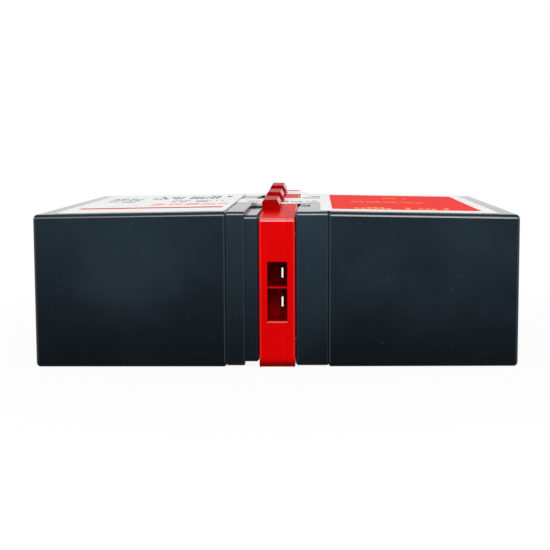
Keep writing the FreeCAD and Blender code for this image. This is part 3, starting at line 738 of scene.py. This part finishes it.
class CARTRIDGE_OT_labels(bpy.types.Operator):
    """Film labels on the two batteries and the strips across the housing"""
    bl_idname = "cartridge.labels"
    bl_label = "Labels and strips"

    def execute(self, context):
        look = settings().print
        film_look = {
            "left": film("left_film", LEFT_ROWS, rule=((-87.7, -25.0), (-47.0, -39.5))),
            "right": film("right_film", RIGHT_ROWS, panel=((23.0, 87.0), (-59.0, 60.0)))}
        plain = film("strip_film", (((-17.0, 18.0), -4.0, 3.0, 1.0, 2, "ink_colour"),))
        side_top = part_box("left_lid")[1][2]
        low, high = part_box("left_label")
        outlines = {"left": [(low[0], level(low[2])), (high[0], level(high[2] - FILM))]}
        low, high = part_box("right_label")
        outlines["right"] = [(low[0], level(side_top)),
                             (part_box("right_container")[0][0], level(side_top)),
                             (high[0], level(low[2]))]
        for side, outline in outlines.items():
            film_piece(f"{side}_label_film", film_look[side], f"{side}_label", outline,
                       corner=look.corner, ripple=look.ripple)
        tray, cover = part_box("housing_tray"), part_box("housing_cover")
        for end, lead in STRIP_LEAD.items():
            low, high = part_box(f"{end}_strip")
            over = [(low[0], level(side_top)), (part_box("left_lid")[1][0] - LID_PLATEAU, level(side_top)),
                    (tray[0][0], housing_top), (cover[1][0], housing_top),
                    (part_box("right_lid")[0][0] + LID_PLATEAU, level(side_top)),
                    (high[0], level(side_top))]
            lug_front = low[1] + lead
            hole = (tray[0][0] - LUG_GAP, tray[0][0] + LUG_SIZE[0] + LUG_GAP,
                    lug_front - LUG_GAP, lug_front + LUG_SIZE[1] + LUG_GAP)
            film_piece(f"{end}_strip_film", plain, f"{end}_strip", over, holes=(hole,))
        return {"FINISHED"}


# ------------------------------------------------------------------ stage
class Studio(Finish):
    """The same shader writing for the world, which has no object of its own."""

    def __init__(self, world):
        self.material = world
        self.material.use_nodes = True
        self.tree = world.node_tree
        self.tree.nodes.clear()


def seen_directly(finish):
    """1 for rays that reach the camera straight, in a mirror or through glass."""
    rays = finish.node("ShaderNodeLightPath", {}, {})
    camera, mirror, glass = (Signal(finish, rays.outputs[kind])
                             for kind in ("Is Camera Ray", "Is Glossy Ray", "Is Transmission Ray"))
    return camera.either(mirror).either(glass)


def stage_floor(look):
    """Large pale floor that keeps the object's shadow and looks white further out."""
    bm = bmesh.new()
    bmesh.ops.create_grid(bm, x_segments=1, y_segments=1, size=4.0)
    mesh = bpy.data.meshes.new("floor")
    bm.to_mesh(mesh)
    bm.free()
    floor = bpy.data.objects.new("floor", mesh)
    bpy.context.scene.collection.objects.link(floor)
    floor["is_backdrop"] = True
    finish = Finish("floor_paper")
    x, y = finish.axes()[:2]
    reach = (x * x + y * y).math("SQRT")
    glow = reach.ramp(*FLOOR_FADE, look.paper_glow, 1.0)
    paper = finish.node("ShaderNodeBsdfDiffuse", {}, {"Color": (PAPER, PAPER, PAPER, 1.0)})
    white = finish.node("ShaderNodeEmission", {}, {"Color": (1.0, 1.0, 1.0, 1.0), "Strength": 1.0})
    mix = finish.node("ShaderNodeMixShader", {}, {
        0: seen_directly(finish) * glow, 1: paper.outputs[0], 2: white.outputs[0]})
    finish.node("ShaderNodeOutputMaterial", {}, {"Surface": mix.outputs[0]})
    mesh.materials.append(finish.material)


def stage_world(strength):
    """Even light from all round, seen as plain white."""
    world = bpy.data.worlds.new("studio")
    bpy.context.scene.world = world
    finish = Studio(world)
    lit, seen = (finish.node("ShaderNodeBackground", {}, {
        "Color": (1.0, 1.0, 1.0, 1.0), "Strength": level}) for level in (strength, 1.0))
    mix = finish.node("ShaderNodeMixShader", {}, {
        0: seen_directly(finish), 1: lit.outputs[0], 2: seen.outputs[0]})
    finish.node("ShaderNodeOutputWorld", {}, {"Surface": mix.outputs[0]})


def softbox(name, place, size, level):
    """Square lamp that faces the middle of the pack and lights a white card there to a level."""
    target = (CAD_BOX[0] + CAD_BOX[1]) / 2
    reach = Vector(place) - target
    lamp = bpy.data.lights.new(name, "AREA")
    lamp.shape = "SQUARE"
    lamp.size = size
    lamp.energy = level * (math.pi * reach.length) ** 2
    box = bpy.data.objects.new(name, lamp)
    box.location = place
    box.rotation_euler = (-reach).to_track_quat("-Z", "Y").to_euler()
    bpy.context.scene.collection.objects.link(box)


def stage_camera(look):
    camera = bpy.data.cameras.new("camera")
    camera.lens = look.lens
    camera.sensor_width = 36.0
    camera.shift_x, camera.shift_y = look.shift
    camera.clip_start, camera.clip_end = 0.01, 50.0
    stand = bpy.data.objects.new("camera", camera)
    turn = (Matrix.Rotation(look.camera_yaw, 4, "Z")
            @ Matrix.Rotation(math.pi / 2 - look.camera_pitch, 4, "X"))
    stand.matrix_world = Matrix.Translation(look.camera_place) @ turn
    bpy.context.scene.collection.objects.link(stand)
    bpy.context.scene.camera = stand


class CARTRIDGE_OT_stage(bpy.types.Operator):
    """Floor, even studio light and the camera"""
    bl_idname = "cartridge.stage"
    bl_label = "Stage"

    def execute(self, context):
        look = settings().stage
        context.scene.view_settings.view_transform = "Standard"
        stage_floor(look)
        stage_world(look.daylight)
        softbox("overhead", *OVERHEAD_BOX, look.overhead_level)
        softbox("front", *FRONT_BOX, look.front_level)
        stage_camera(look)
        return {"FINISHED"}


class CARTRIDGE_PT_panel(bpy.types.Panel):
    """Lists the steps that dress the cartridge"""
    bl_idname = "CARTRIDGE_PT_panel"
    bl_label = "UPS battery cartridge"
    bl_space_type = "VIEW_3D"
    bl_region_type = "UI"
    bl_category = "Cartridge"

    def draw(self, context):
        for step in STEPS:
            self.layout.operator(step.bl_idname)


STEPS = (CARTRIDGE_OT_cases, CARTRIDGE_OT_housing, CARTRIDGE_OT_inside, CARTRIDGE_OT_labels,
         CARTRIDGE_OT_stage)
CLASSES = (PlasticSettings, PrintSettings, StageSettings, CartridgeSettings, *STEPS,
           CARTRIDGE_PT_panel)


def register():
    for item in CLASSES:
        bpy.utils.register_class(item)
    bpy.types.Scene.cartridge = bpy.props.PointerProperty(type=CartridgeSettings)


def unregister():
    del bpy.types.Scene.cartridge
    for item in reversed(CLASSES):
        bpy.utils.unregister_class(item)


def main():
    register()
    bpy.ops.cartridge.cases()
    bpy.ops.cartridge.housing()
    bpy.ops.cartridge.inside()
    bpy.ops.cartridge.labels()
    bpy.ops.cartridge.stage()
    boxes = {"cad": CAD_BOX, "visual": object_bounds()}
    {name: [list(corner) for corner in box] for name, box in boxes.items()}


if __name__ == "__main__":
    main()
